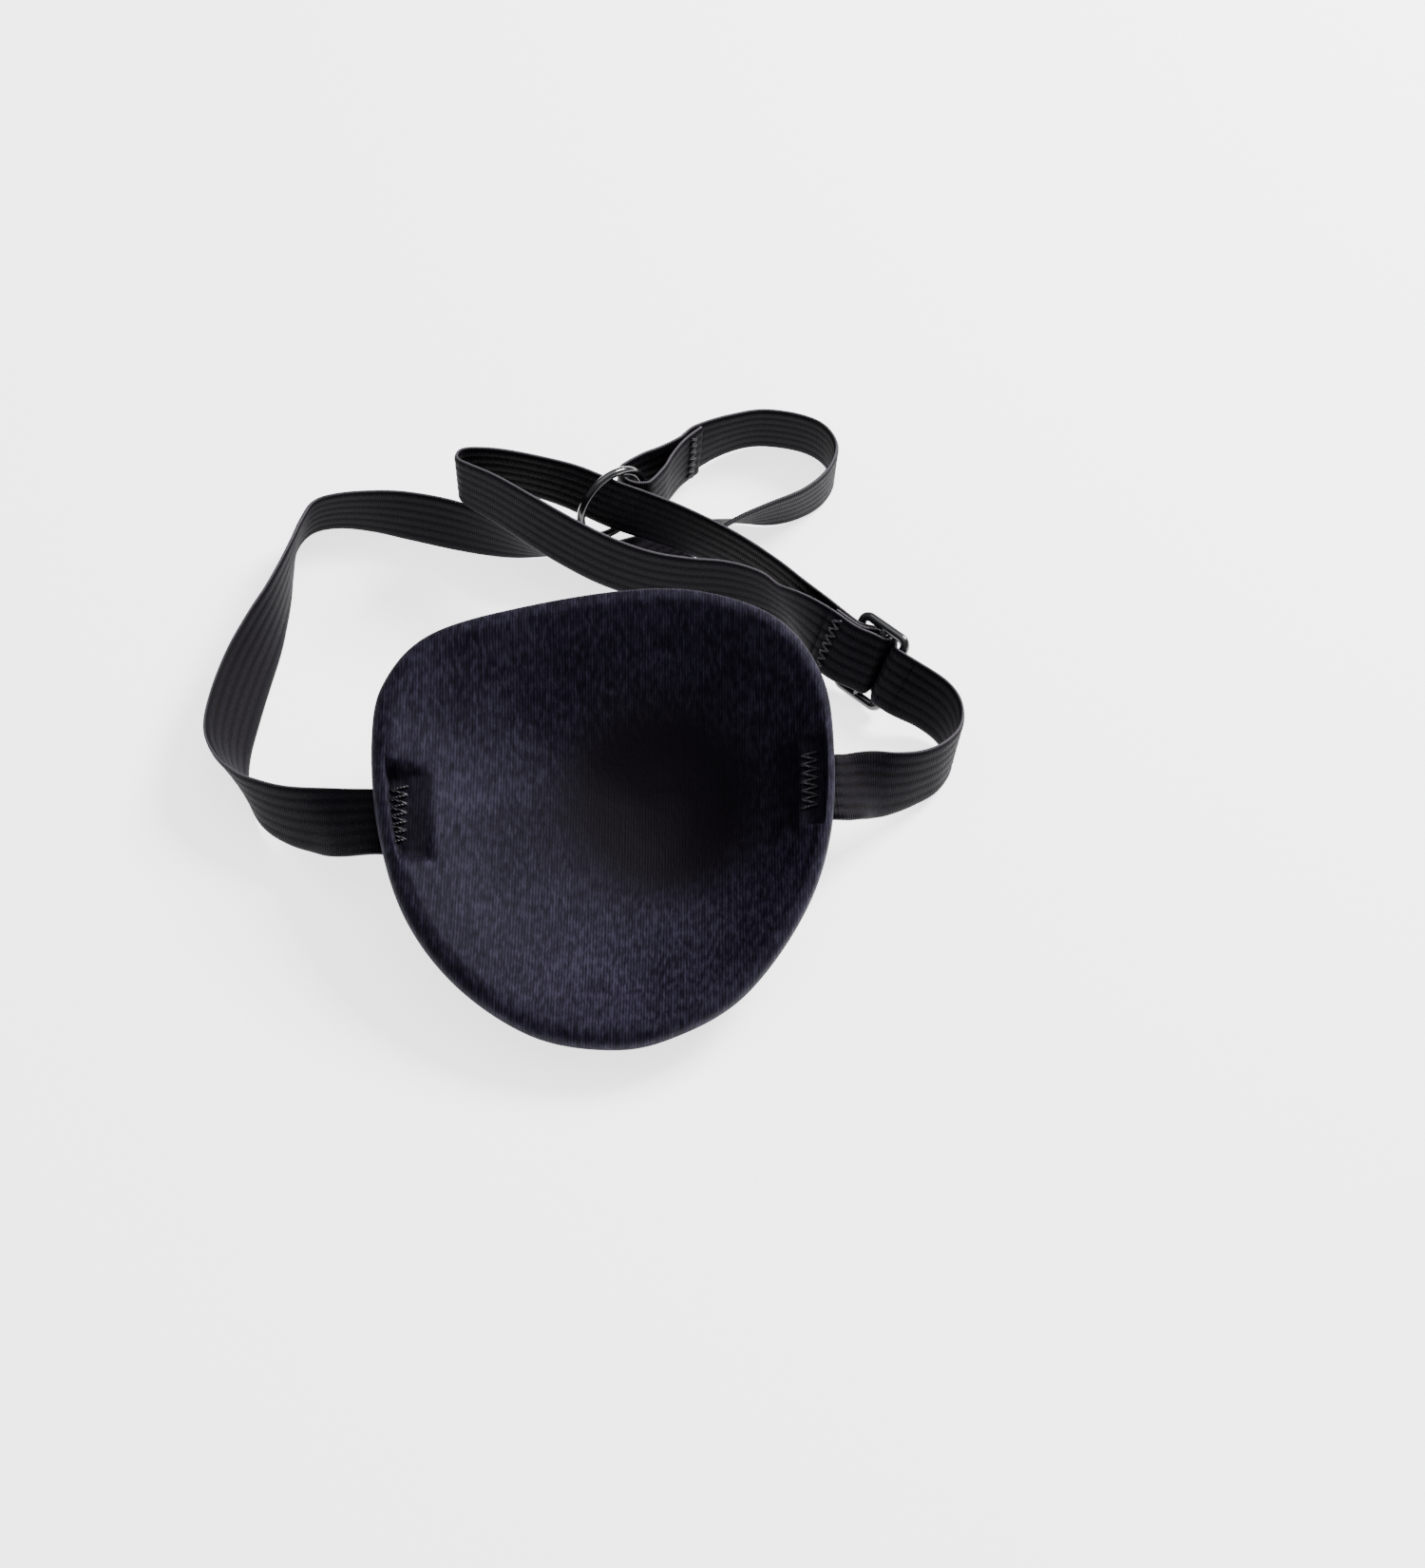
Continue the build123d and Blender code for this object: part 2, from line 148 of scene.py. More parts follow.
def knit_fabric():
    material, shader = new_material("knit_fabric", (0.006, 0.005, 0.010), 0.62,
                                    Sheen_Weight=0.02, Sheen_Roughness=0.3,
                                    Sheen_Tint=(0.55, 0.55, 0.95, 1), Specular_IOR_Level=0.07,
                                    Specular_Tint=(0.75, 0.75, 1.0, 1))
    place = add(material, "ShaderNodeTexCoord").outputs["Object"]
    wander = add(material, "ShaderNodeTexNoise", [("Vector", place)], Scale=900.0, Detail=2.0)
    rows = add(material, "ShaderNodeTexWave", [("Vector", place)], bands_direction="X",
               Scale=WAVE_UNIT / WALE, Distortion=1.4, Detail=2.0)
    rows.inputs["Detail Scale"].default_value = 1.6
    loops = add(material, "ShaderNodeTexNoise",
                [("Vector", stretched(material, place, (1500, 520, 520)))], Scale=1.0, Detail=3.0)
    broad = add(material, "ShaderNodeTexNoise", [("Vector", place)], Scale=60.0, Detail=3.0)
    threads = math_node(material, "ADD", math_node(material, "MULTIPLY", rows.outputs["Fac"], 0.22),
                        math_node(material, "MULTIPLY", loops.outputs["Fac"], 0.9))
    height = math_node(material, "ADD", threads,
                       math_node(material, "MULTIPLY", wander.outputs["Fac"], 0.5))
    tone = math_node(material, "ADD", math_node(material, "MULTIPLY", threads, 0.75),
                     math_node(material, "MULTIPLY", broad.outputs["Fac"], 0.28))
    colour = colour_ramp(material, tone, [(0.36, (0.0014, 0.0010, 0.0022)),
                                          (0.54, (0.0058, 0.0046, 0.0094)),
                                          (0.76, (0.0230, 0.0200, 0.0350))])
    # Painted shade darkens the knit deep in the bowl and in the sewn recesses; the mesh says where.
    painted_shade = add(material, "ShaderNodeAttribute", attribute_name="painted_shade")
    shade_mix = add(material, "ShaderNodeMix", data_type="RGBA")
    material.node_tree.links.new(painted_shade.outputs["Fac"], shade_mix.inputs[0])
    material.node_tree.links.new(colour, shade_mix.inputs[6])
    # The colour of the painted shade.
    shade_mix.inputs[7].default_value = (0.0018, 0.0009, 0.0014, 1)
    material.node_tree.links.new(shade_mix.outputs[2], shader.inputs["Base Color"])
    bumped(material, shader, height, 0.10 * MM, 0.8)
    return material


KNIT = knit_fabric()
print("material", KNIT.name)

# %% Elastic webbing, sewing thread and glossy plastic
CROSS_THREAD = 0.42 * MM     # distance between the elastic's cross threads
RIBS = 6                     # ribs on each face of the elastic
RIBBED_WIDTH = 11.2 * MM     # width that the painted shade between the six ribs spans
EDGE_HIGHLIGHT_FROM = 5.7 * MM     # the painted highlight on the band's edges starts this far from the middle
EDGE_HIGHLIGHT_FULL = 5.95 * MM


def elastic_webbing():
    material, shader = new_material("elastic_webbing", (0.004, 0.004, 0.005), 0.6,
                                    Sheen_Weight=0.01, Sheen_Roughness=0.3,
                                    Sheen_Tint=(0.8, 0.8, 0.95, 1), Specular_IOR_Level=0.06)
    place = add(material, "ShaderNodeTexCoord").outputs["UV"]
    cross = add(material, "ShaderNodeTexWave", [("Vector", place)], bands_direction="Y",
                Scale=WAVE_UNIT / CROSS_THREAD, Distortion=0.8, Detail=2.0)
    # Painted shade: the band's tone darkens between its ribs.
    rib_shade = add(material, "ShaderNodeTexWave", [("Vector", place)], bands_direction="X",
               Scale=WAVE_UNIT * RIBS / RIBBED_WIDTH, Distortion=0.25)
    fuzz = add(material, "ShaderNodeTexNoise",
               [("Vector", stretched(material, place, (2600, 1300, 1000)))], Scale=1.0, Detail=3.0)
    weave = math_node(material, "MULTIPLY", cross.outputs["Fac"], fuzz.outputs["Fac"])
    tone = math_node(material, "ADD", math_node(material, "MULTIPLY", rib_shade.outputs["Fac"], 0.35),
                     weave)
    cloth = colour_ramp(material, tone, [(0.1, (0.0006, 0.0004, 0.0009)),
                                         (0.5, (0.0024, 0.0018, 0.0034)),
                                         (1.0, (0.0120, 0.0100, 0.0150))])
    # Painted highlight: both edges of the band are painted pale, where the edge catches the light.
    across = add(material, "ShaderNodeSeparateXYZ", [("Vector", place)]).outputs["X"]
    from_middle = math_node(material, "ABSOLUTE", across, 0)
    edge = add(material, "ShaderNodeMapRange", [("Value", from_middle)])
    edge.inputs["From Min"].default_value = EDGE_HIGHLIGHT_FROM
    edge.inputs["From Max"].default_value = EDGE_HIGHLIGHT_FULL
    edge_highlight = add(material, "ShaderNodeMix", data_type="RGBA")
    material.node_tree.links.new(edge.outputs["Result"], edge_highlight.inputs[0])
    material.node_tree.links.new(cloth, edge_highlight.inputs[6])
    # The colour of the painted highlight.
    edge_highlight.inputs[7].default_value = (0.060, 0.056, 0.064, 1)
    material.node_tree.links.new(edge_highlight.outputs[2], shader.inputs["Base Color"])
    bumped(material, shader, weave, 0.10 * MM, 0.9)
    return material


def sewing_thread():
    material, shader = new_material("sewing_thread", (0.006, 0.005, 0.010), 0.5,
                                    Sheen_Weight=0.06, Sheen_Tint=(0.8, 0.8, 1.0, 1),
                                    Specular_IOR_Level=0.35)
    place = add(material, "ShaderNodeTexCoord").outputs["Object"]
    plies = add(material, "ShaderNodeTexWave", [("Vector", place)], bands_direction="DIAGONAL",
                Scale=900.0, Distortion=1.5)
    colour = colour_ramp(material, plies.outputs["Fac"], [(0.2, (0.001, 0.0008, 0.002)),
                                                          (0.8, (0.007, 0.006, 0.012))])
    material.node_tree.links.new(colour, shader.inputs["Base Color"])
    bumped(material, shader, plies.outputs["Fac"], 0.08 * MM)
    return material


def glossy_plastic():
    material, shader = new_material("black_plastic", (0.006, 0.006, 0.007), 0.16,
                                    Specular_IOR_Level=0.6, Coat_Weight=0.3, Coat_Roughness=0.08)
    place = add(material, "ShaderNodeTexCoord").outputs["Object"]
    flow = add(material, "ShaderNodeTexNoise", [("Vector", place)], Scale=350.0, Detail=3.0)
    rub = add(material, "ShaderNodeMapRange", [("Value", flow.outputs["Fac"])])
    rub.inputs["To Min"].default_value = 0.10
    rub.inputs["To Max"].default_value = 0.30
    material.node_tree.links.new(rub.outputs["Result"], shader.inputs["Roughness"])
    bumped(material, shader, flow.outputs["Fac"], 0.02 * MM, 0.5)
    return material


WEBBING = elastic_webbing()
THREAD = sewing_thread()
PLASTIC = glossy_plastic()
print("materials", WEBBING.name, THREAD.name, PLASTIC.name)

# %% [markdown]
# ## Shared tools
# A smooth line through a few points is a Catmull-Rom curve: it passes through
# every point and its direction never jumps. A section carried along such a line by the
# extrude operator makes a strap, a thread or a moulded wire.


# %% Smooth lines and swept sections
def smooth_line(rows, parts, closed=False):
    """Rows of numbers or vectors, with parts - 1 more on the smooth curve between each two."""
    rows = [Vector(row) for row in rows]
    count = len(rows)
    made = []
    spans = count if closed else count - 1
    for i in range(spans):
        if closed:
            a, b, c, d = (rows[(i + k) % count] for k in (-1, 0, 1, 2))
        else:
            a, b, c, d = rows[max(i - 1, 0)], rows[i], rows[i + 1], rows[min(i + 2, count - 1)]
        for k in range(parts):
            t = k / parts
            made.append(0.5 * (2 * b + (c - a) * t + (2 * a - 5 * b + 4 * c - d) * t * t
                               + (3 * b - a - 3 * c + d) * t ** 3))
    if not closed:
        made.append(rows[-1])
    return made


def station_matrix(centre, along, width):
    """A frame with x along the width, y through the thickness and z along the line."""
    z = along.normalized()
    x = (width - z * width.dot(z)).normalized()
    y = z.cross(x)
    return Matrix.Translation(centre) @ Matrix((x, y, z)).transposed().to_4x4()


def sweep(bm, section, matrices, closed=False):
    """Extrudes a closed section (x, y) through the frames; returns the rings of vertices."""
    start = [bm.verts.new(matrices[0] @ Vector((x, y, 0))) for x, y in section]
    edges = [bm.edges.new((start[i - 1], start[i])) for i in range(len(start))]
    rings = [start]
    for before, after in zip(matrices, matrices[1:]):
        made = bmesh.ops.extrude_edge_only(bm, edges=edges)["geom"]
        edges = [item for item in made if isinstance(item, bmesh.types.BMEdge)
                 and not any(v in rings[-1] for v in item.verts)]
        ring = [item for item in made if isinstance(item, bmesh.types.BMVert)]
        step = after @ before.inverted()
        bmesh.ops.transform(bm, matrix=step, verts=ring)
        rings.append(ring)
    if closed:
        loop = [bm.edges.get((start[i - 1], start[i])) for i in range(len(start))]
        bmesh.ops.bridge_loops(bm, edges=loop + edges)
    else:
        for loop in ([bm.edges.get((start[i - 1], start[i])) for i in range(len(start))], edges):
            bmesh.ops.contextual_create(bm, geom=loop)
    return rings


def finished(name, bm, material, smooth=True):
    """A new object at the origin from a bmesh, with its faces pointing outwards."""
    bmesh.ops.recalc_face_normals(bm, faces=bm.faces)
    mesh = bpy.data.meshes.new(name)
    bm.to_mesh(mesh)
    bm.free()
    mesh.materials.append(material)
    for face in mesh.polygons:
        face.use_smooth = smooth
    piece = bpy.data.objects.new(name, mesh)
    bpy.context.scene.collection.objects.link(piece)
    print("made", name, "with", len(mesh.polygons), "faces")
    return piece


# %% [markdown]
# ## The pad
# The real pad is a sheet of foam and fabric pressed hot into a bowl, so its skin is one
# smooth surface that rolls over the rim. Rings of the rim's outline are extruded from the
# dome's lowest point, over the rim and down into the hollow. Then the sewn recesses are
# pressed in, as the presser foot does.
# The pad keeps its moulded shape, so it is modelled directly and not as a blown-up cloth.

# %% Pad sizes
PAD_TILT = math.radians(17.0)
SHIFT_MM = Vector((-1.3, -0.4, 0.0))
PAD_LIFT_MM = 20.38          # height of the rim's middle, which sets the dome on the table
PAD_ORIGIN_MM = Vector((5.2, -33.0, PAD_LIFT_MM)) + SHIFT_MM
PAD_PLACE = (Matrix.Translation(PAD_ORIGIN_MM * MM) @ Matrix.Rotation(PAD_TILT, 4, "X")
             @ Matrix.Scale(MM, 4))
HOLLOW_CENTRE = Vector((12.0, 3.0))
SHADE_MIDDLE = (10.0, 6.0)        # middle of the painted shade in the bowl
SHADE_OUT = 26.0         # the painted shade ends this far from its middle
SHADE_FADE = 15.0        # and fades in over this length
SEAT_DEPTH = 6.6
SEAT_ROOM = 0.6              # gap at the inner end of the strap in its seat
SEAT_OUT = 14                # the seat runs out past the rim
SEAT_HALF_LONG = 6.6         # half the seat's width, a little more than half the strap's
SEAM_FLOOR = 3.6
LEFT_SEAM = (-33.3, 0.3)
RIGHT_SEAM = (34.2, 6.6)
LEFT_TUCK = 5.0
RIGHT_TUCK = 0.8
SEWN_OUT = 6.5
RECESS_HALF_WIDE = 4.4       # half the sewn recess, across the rim
RECESS_HALF_LONG = 8.1       # and along it
DOME_DEPTH = 18.2
BOWL_DEPTH = 14.6
RIM_PARTS = 14               # points made for each step between two points of RIM
SKIN_PARTS = 5               # and for each step of the cut
RIM = [(-39.8, 13.0), (-38.2, 24.0), (-30.2, 33.2), (-12.0, 38.8), (8.0, 41.8), (21.5, 40.2),
       (31.5, 35.2), (37.8, 26.0), (39.8, 14.5), (39.2, -3.0), (34.3, -18.0), (24.0, -32.3),
       (11.5, -39.5), (1.0, -41.2), (-11.5, -38.7), (-24.0, -30.2), (-33.0, -18.2), (-38.0, -3.0)]
# The pad cut through its middle: share of the way out from the bowl's centre, and depth in
# millimetres below the rim, from the dome up, over the rim and down to the bowl's floor.
OUTSIDE = [(0.12, 18.15), (0.30, 17.45), (0.475, 15.8), (0.63, 13.65), (0.76, 11.1),
           (0.865, 8.6), (0.945, 6.2), (0.988, 4.2), (1.0, 2.6), (0.993, 1.1), (0.978, 0.35),
           (0.957, 0.0)]
INSIDE = [(0.932, 0.02), (0.912, 0.45), (0.887, 1.25), (0.8175, 2.9), (0.7325, 5.5),
          (0.6125, 8.2), (0.4625, 10.7), (0.2875, 12.9), (0.12, 14.3)]
print("pad origin", [round(c, 2) for c in PAD_ORIGIN_MM], "mm")


# %% Pad rings
def pressed(u, v, seam, half_wide, half_long, edge):
    """1 inside a sewn rectangle, 0 outside it, with a soft edge."""
    dx = (half_wide - abs(u - seam[0])) / edge
    dy = (half_long - abs(v - seam[1])) / edge
    near = min(max(min(dx, dy) + 0.5, 0.0), 1.0)
    return near * near * (3 - 2 * near)


def shade_share(point):
    """1 where the knit gets painted shade: deep in the bowl and in the sewn recesses."""
    u, v, depth = point
    reach = math.hypot(u - SHADE_MIDDLE[0], v - SHADE_MIDDLE[1])
    deep = min(max((SHADE_OUT - reach) / SHADE_FADE, 0.0), 1.0)
    deep = deep * deep * (3 - 2 * deep)
    sewn = max(pressed(u, v, seam, RECESS_HALF_WIDE, RECESS_HALF_LONG, 2.0)
               for seam in (LEFT_SEAM, RIGHT_SEAM))
    # The sewn recesses get seven tenths of the painted shade.
    return max(deep, 0.7 * sewn)


def outside_skin(point):
    """Presses the strap's flat seat into the dome."""
    u, v, depth = point
    for seam, side in ((LEFT_SEAM, -1), (RIGHT_SEAM, 1)):
        tuck = LEFT_TUCK if side < 0 else RIGHT_TUCK
        inner = seam[0] - side * (tuck + SEAT_ROOM)
        outer = seam[0] + side * SEAT_OUT
        seat = ((inner + outer) / 2, seam[1])
        share = pressed(u, v, seat, abs(outer - inner) / 2, SEAT_HALF_LONG, 1.2)
        if depth > SEAT_DEPTH:
            depth += (SEAT_DEPTH - depth) * share
    return Vector((u, v, depth))


def inside_skin(point):
    """Presses the sewn recess into the rim, with puckers that fade away from it."""
    u, v, depth = point
    for seam in (LEFT_SEAM, RIGHT_SEAM):
        share = pressed(u, v, seam, RECESS_HALF_WIDE, RECESS_HALF_LONG, 1.3)
        floor = SEAM_FLOOR + 0.25 * noise.noise(Vector((u * 0.9, v * 0.9, 3.0)))
        if depth < floor:
            depth += (floor - depth) * share
        reach = math.hypot(max(abs(u - seam[0]) - RECESS_HALF_WIDE, 0),
                           max(abs(v - seam[1]) - RECESS_HALF_LONG, 0))
        pull = math.exp(-reach / 3.0) * (1 - share)
        angle = math.atan2(v - seam[1], u - seam[0])
        depth += pull * (0.18 * math.sin(angle * 17) + 0.22)
    return Vector((u, v, depth))


def pad_mesh():
    bm = bmesh.new()
    painted_shade = bm.verts.layers.float.new("painted_shade")
    rim = smooth_line(RIM, RIM_PARTS, closed=True)
    rows = smooth_line(OUTSIDE + INSIDE, SKIN_PARTS)
    lip = len(OUTSIDE) * SKIN_PARTS - 3
    start = [bm.verts.new((p.x, p.y, 0)) for p in rim]
    edges = [bm.edges.new((start[i - 1], start[i])) for i in range(len(start))]
    first = list(edges)
    ring = start
    for number, (share, depth) in enumerate(rows):
        if number:
            made = bmesh.ops.extrude_edge_only(bm, edges=edges)["geom"]
            old = set(ring)
            ring = [item for item in made if isinstance(item, bmesh.types.BMVert)]
            edges = [item for item in made if isinstance(item, bmesh.types.BMEdge)
                     and not any(v in old for v in item.verts)]
        middle = HOLLOW_CENTRE * (1 - share)
        skin = outside_skin if number < lip else inside_skin
        for vert, p in zip(ring, rim):
            smooth_place = Vector((middle.x + p.x * share, middle.y + p.y * share, depth))
            place = skin(smooth_place)
            vert.co = (place.x, place.y, -place.z)
            # Painted shade for the knit, on the inside skin only.
            vert[painted_shade] = shade_share(smooth_place) if number >= lip else 0.0
    for loop, depth in ((first, DOME_DEPTH), (edges, BOWL_DEPTH)):
        made = bmesh.ops.extrude_edge_only(bm, edges=loop)["geom"]
        verts = [item for item in made if isinstance(item, bmesh.types.BMVert)]
        centre = Vector((*(HOLLOW_CENTRE * 0.99), -depth))
        bmesh.ops.pointmerge(bm, verts=verts, merge_co=centre)
    bmesh.ops.transform(bm, matrix=PAD_PLACE, verts=bm.verts)
    return bm


pad = finished("moulded_pad", pad_mesh(), KNIT)
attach(pad, "root")
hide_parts("pad_outer_cover", "pad_inner_lining", "pad_foam_core")

# %% [markdown]
# ## The elastic
# The elastic is a flat woven band. Its section has six soft ribs on each face and rounded
# edges. It is carried along the route that the frame's straps follow: each point says where
# the middle of the band is, in millimetres, and how far the band leans over, in degrees.

# %% Band section and stations
UP = Vector((0, 0, 1))
SEWN_BELOW = 0.55            # from the seat to the middle of the band


def band_section():
    """The elastic's section in metres: ribs on both faces, rounded edges."""
    steps = 36
    face = []
    for k in range(steps + 1):
        s = -5.75 + 11.5 * k / steps
        ridge = abs(math.cos(math.pi * RIBS * (s + 5.75) / 11.5 + math.pi / 2))
        edge_fall = 0.12 * max(abs(s) - 5.2, 0) / 0.55
        face.append((s, 0.38 + 0.12 * ridge ** 0.6 - edge_fall))
    loop = [(s, t) for s, t in face] + [(5.95, 0.16), (5.95, -0.16)]
    loop += [(s, -t) for s, t in reversed(face)] + [(-5.95, -0.16), (-5.95, 0.16)]
    return [(s * MM, t * MM) for s, t in loop]


def sideways(along, lean):
    left = UP.cross(along).normalized()
    top = along.cross(left).normalized()
    return top * math.cos(math.radians(lean)) + left * math.sin(math.radians(lean))


def directions(centres):
    made = []
    for i, centre in enumerate(centres):
        before = centre - centres[i - 1] if i else centres[1] - centre
        after = centres[i + 1] - centre if i + 1 < len(centres) else before
        ratio = after.length / before.length
        made.append((before * ratio + after / ratio).normalized())
    return made


def free_run(points):
    """(centre, width direction) pairs for points (x, y, z, lean) in millimetres."""
    centres = [Vector(p[:3]) + SHIFT_MM for p in points]
    return [(c, sideways(d, p[3])) for c, d, p in zip(centres, directions(centres), points)]


def sewn_run(seam, side):
    """Three pairs for the end sewn down under the pad."""
    to_mm = Matrix.Scale(1000, 4) @ PAD_PLACE
    height = (PAD_PLACE.to_3x3() @ Vector((0, 1, 0))).normalized()
    tuck = LEFT_TUCK if side < 0 else RIGHT_TUCK
    made = []
    for step in (-tuck, SEWN_OUT / 2, SEWN_OUT):
        place = Vector((seam[0] + side * step, seam[1], -(SEAT_DEPTH + SEWN_BELOW)))
        made.append((to_mm @ place, height))
    return made


def framed_run(matrix, points):
    """Pairs for points (x, y) in a plane that the band stands square to."""
    width = matrix.to_3x3() @ Vector((0, 0, 1))
    return [(matrix @ Vector((x, y, 0)), width) for x, y in points]


def arc(centre, radius, start, end, count):
    turn = [math.radians(start + (end - start) * k / (count - 1)) for k in range(count)]
    return [(centre[0] + radius * math.cos(a), centre[1] + radius * math.sin(a)) for a in turn]


print("band section of", len(band_section()), "points")


# %% Band piece
SPLIT = 6                    # frames made for each step between two route points


def band_frames(pairs):
    """(matrix, length so far) along the smooth line through (centre, width direction) pairs."""
    centres = smooth_line([c for c, w in pairs], SPLIT)
    widths = smooth_line([w for c, w in pairs], SPLIT)
    made = []
    length = 0.0
    for i, (centre, along) in enumerate(zip(centres, directions(centres))):
        if i:
            length += (centre - centres[i - 1]).length * MM
        made.append((station_matrix(centre * MM, along, widths[i]), length))
    return made


def band(name, frames):
    """The elastic through its frames, with a UV map in metres."""
    section = band_section()
    bm = bmesh.new()
    rings = sweep(bm, section, [matrix for matrix, length in frames])
    uv = bm.loops.layers.uv.new("band")
    place = {}
    for ring, (matrix, length) in zip(rings, frames):
        for vert, (s, t) in zip(ring, section):
            place[vert] = (s, length)
    for face in bm.faces:
        for loop in face.loops:
            loop[uv].uv = place[loop.vert]
    piece = finished(name, bm, WEBBING)
    return piece


# %% [markdown]
# ## The left strap
# It leaves the pad's left side, turns away over the table, twists flat where the other
# strap's doubled end rests on it, makes a small loop and ends in a sewn eye for the ring.

# %% Left strap
LEFT_RUN = [
    (-40.4, -29.4, 11.7, -55), (-45.4, -27.6, 9.9, -33), (-50.5, -25.2, 8.1, -20),
    (-55.3, -22.0, 6.8, -8), (-58.8, -18.3, 6.2, 8), (-61.9, -13.0, 5.8, 24),
    (-63.3, -7.0, 5.4, 36), (-62.9, 0.5, 5.2, 40), (-61.4, 9.7, 5.3, 36),
    (-59.3, 18.0, 5.7, 25), (-57.6, 24.7, 6.0, 12), (-56.5, 30.9, 6.1, 2),
    (-55.8, 36.9, 6.1, -8), (-55.0, 43.0, 6.1, -16), (-52.8, 47.3, 6.1, -14),
    (-48.4, 49.0, 6.1, -10), (-41.8, 49.0, 6.1, -2), (-34.4, 47.8, 6.1, 8),
    (-25.5, 45.4, 6.1, 10), (-17.3, 42.4, 6.1, -3), (-10.0, 39.8, 5.7, -26),
    (-3.1, 38.6, 4.0, -55), (3.2, 39.0, 2.1, -78), (9.2, 40.8, 1.5, -86),
    (15.0, 43.1, 1.8, -81), (20.8, 45.6, 2.7, -70), (27.3, 47.3, 4.8, -44),
    (34.8, 48.4, 6.0, -22), (41.1, 51.0, 6.1, -14), (45.8, 55.4, 6.1, -8),
    (47.9, 61.2, 6.1, -3), (46.2, 66.6, 6.1, 3), (41.4, 70.0, 6.1, 7),
    (33.6, 71.3, 6.2, 8), (27.0, 68.8, 6.9, 6),
]
RING_CENTRE_MM = Vector((5.1, 45.8, 11.8)) + SHIFT_MM
RING_REACH_MM = 7.4
LOOP_HEADING = math.radians(52.0)
LOOP_FALL = math.radians(8.0)
RING_TURN = math.radians(-14.0)
loop_out = Vector((math.cos(LOOP_HEADING) * math.cos(LOOP_FALL),
                   math.sin(LOOP_HEADING) * math.cos(LOOP_FALL), -math.sin(LOOP_FALL)))
ring_upright = sideways(loop_out, 0.0)
ring_arm = loop_out * math.cos(RING_TURN) + ring_upright.cross(loop_out) * math.sin(RING_TURN)
ring_hinge_mm = RING_CENTRE_MM + ring_arm * RING_REACH_MM


def plane_at(origin, x, z):
    y = z.cross(x)
    return Matrix.Translation(origin) @ Matrix((x, y, z)).transposed().to_4x4()


EYE = plane_at(ring_hinge_mm, loop_out, ring_upright)
EYE_MEETS = 11.5             # distance from the ring's wire to where the two layers meet
EYE_SEWN = 4.6               # length over which the layers are sewn together
half_gap = 0.55              # from the middle between the layers to a layer's middle
eye_path = [(EYE_MEETS + EYE_SEWN, half_gap), (EYE_MEETS, half_gap), (6.5, 1.5), (2.6, 2.7)]
eye_path += arc((-1.95, 0), 3.45, 70, 290, 9)[1:-1]
eye_path += [(2.6, -2.7), (6.5, -1.5), (EYE_MEETS, -half_gap)]
eye_path += [(EYE_MEETS + EYE_SEWN + 0.6, -half_gap)]
left_pairs = sewn_run(LEFT_SEAM, -1) + free_run(LEFT_RUN) + framed_run(EYE, eye_path)
left_frames = band_frames(left_pairs)
left_strap = band("left_elastic", left_frames)
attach(left_strap, "root")
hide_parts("left_strap")
print("left strap", round(left_frames[-1][1] * 1000, 1), "mm")

# %% [markdown]
# ## The right strap
# It runs through the slider and the ring, doubles back, and is folded round the slider's
# middle bar. The stretch in the slider moves with it. The pieces on each side are baked
# in place and are not attached to a body.

# %% Right strap
SLIDER_CENTRE_MM = Vector((53.2, 9.8, 8.1)) + SHIFT_MM
SLIDER_HEADING = math.radians(136.5)
SLIDER_LEAN = -31.0
slider_along = Vector((math.cos(SLIDER_HEADING), math.sin(SLIDER_HEADING), 0))
slider_width = sideways(slider_along, SLIDER_LEAN)
THREADED = plane_at(SLIDER_CENTRE_MM, slider_along, slider_width)
BAR_GAP = 5.0                # from the slider's middle bar to each end bar
BAR = 1.8
HUG = BAR / 2 + 0.5 + 0.14   # the band's middle round a bare bar
OVER = HUG + 1.08            # and over one more layer
TOP_LAYER = OVER + 1.16      # and over two more
STEEP = 38.0                 # how steeply the band dives into a slot, in degrees
RIGHT_RUN = [(48.8, -22.7, 13.2, 62), (51.8, -21.1, 11.6, 45), (55.6, -19.7, 10.0, 27),
             (60.4, -17.3, 8.5, 12), (64.8, -13.8, 7.3, 4), (67.6, -8.7, 6.5, -6),
             (67.1, -3.3, 6.4, -17), (64.2, 0.6, 6.9, -26)]
BACK_RUN = [(41.6, 22.6, 8.3, -8), (35.6, 29.8, 8.5, 0), (27.8, 35.4, 9.6, 0),
            (18.8, 39.7, 11.0, -3), (11.5, 42.8, 11.6, -6), (4.95, 45.68, 11.8, -7),
            (-3.0, 48.4, 13.8, -2), (-10.1, 49.0, 16.1, 4), (-16.6, 48.8, 17.9, 4),
            (-21.0, 48.3, 18.5, 2), (-22.9, 47.6, 18.6, 0), (-23.6, 46.4, 18.6, 0),
            (-23.1, 45.1, 18.6, 0), (-21.4, 43.8, 18.6, 2), (-16.4, 40.6, 18.5, 6),
            (-9.4, 35.4, 18.1, 9), (-2.3, 31.6, 16.2, 9), (4.7, 29.2, 13.7, 8),
            (11.8, 27.8, 11.7, 6), (18.8, 27.6, 10.2, 5), (25.9, 27.8, 9.2, 4),
            (32.4, 26.4, 8.6, 0), (37.8, 22.8, 8.3, -6)]
through = [(-8.6, 1.1)] + arc((-BAR_GAP, 0), HUG, 100, STEEP, 4)
through += arc((0, 0), OVER, 180 + STEEP, 360 - STEEP, 5)
through += arc((BAR_GAP, 0), HUG, 180 - STEEP, 80, 4) + [(8.6, 1.2)]
folded = [(9.6, TOP_LAYER + 0.06), (7.0, TOP_LAYER + 0.02), (5.0, TOP_LAYER - 0.02),
          (3.6, TOP_LAYER - 0.3), (2.2, TOP_LAYER - 0.95), (0.9, 2.02)]
folded += arc((0, 0), HUG, 100, 360 - STEEP, 9)
folded += arc((BAR_GAP, 0), OVER, 180 - STEEP, 90, 3) + [(6.9, OVER + 0.02), (9.4, OVER - 0.04)]
